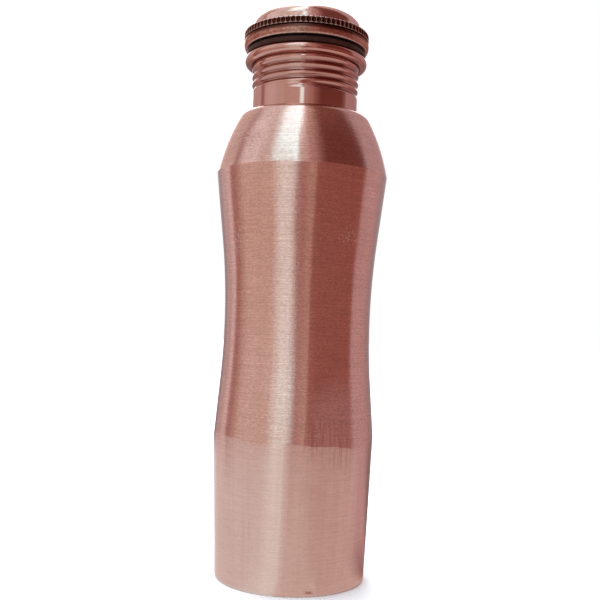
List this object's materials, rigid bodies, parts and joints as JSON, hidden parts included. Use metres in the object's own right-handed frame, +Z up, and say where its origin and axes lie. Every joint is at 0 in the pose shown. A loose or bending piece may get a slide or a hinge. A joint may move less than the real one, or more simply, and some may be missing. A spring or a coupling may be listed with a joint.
{
  "type": "copper water bottle",
  "caption": "Waisted copper water bottle with a rolled-thread neck and a domed screw-in stopper cap that seals on a ring gasket.",
  "frame": {"origin": "middle of the foot, on the surface that the bottle stands on", "axes": "+Z up along the bottle's axis, towards the cap; -Y is the front"},
  "size_m": [0.08, 0.08, 0.2667],
  "materials": {
    "brushed_copper": "satin, finely brushed around the axis",
    "polished_copper": "polished",
    "aged_copper": "satin, browned with age",
    "gasket_rubber": "matt"
  },
  "bodies": {
    "bottle": {"body_shell": "brushed_copper", "base_disc": "brushed_copper", "threaded_neck": "polished_copper"},
    "seal": {"gasket": "gasket_rubber"},
    "cap": {"threaded_plug": "polished_copper", "cap_flange": "aged_copper", "knurled_ring": "aged_copper", "cap_dome": "brushed_copper"}
  },
  "joints": [
    {"name": "cap_lift", "type": "slide", "parent": "bottle", "child": "seal", "axis": [0, 0, 1], "range_m": [0, 0.0152]},
    {"name": "cap_turn", "type": "hinge", "parent": "seal", "child": "cap", "pos_m": [0, 0, 0.2464], "axis": [0, 0, 1], "range_deg": [0, 1530]}
  ],
  "couplings": [
    {"joint": "cap_lift", "follows": "cap_turn", "m_per_rad": 0.000565}
  ]
}
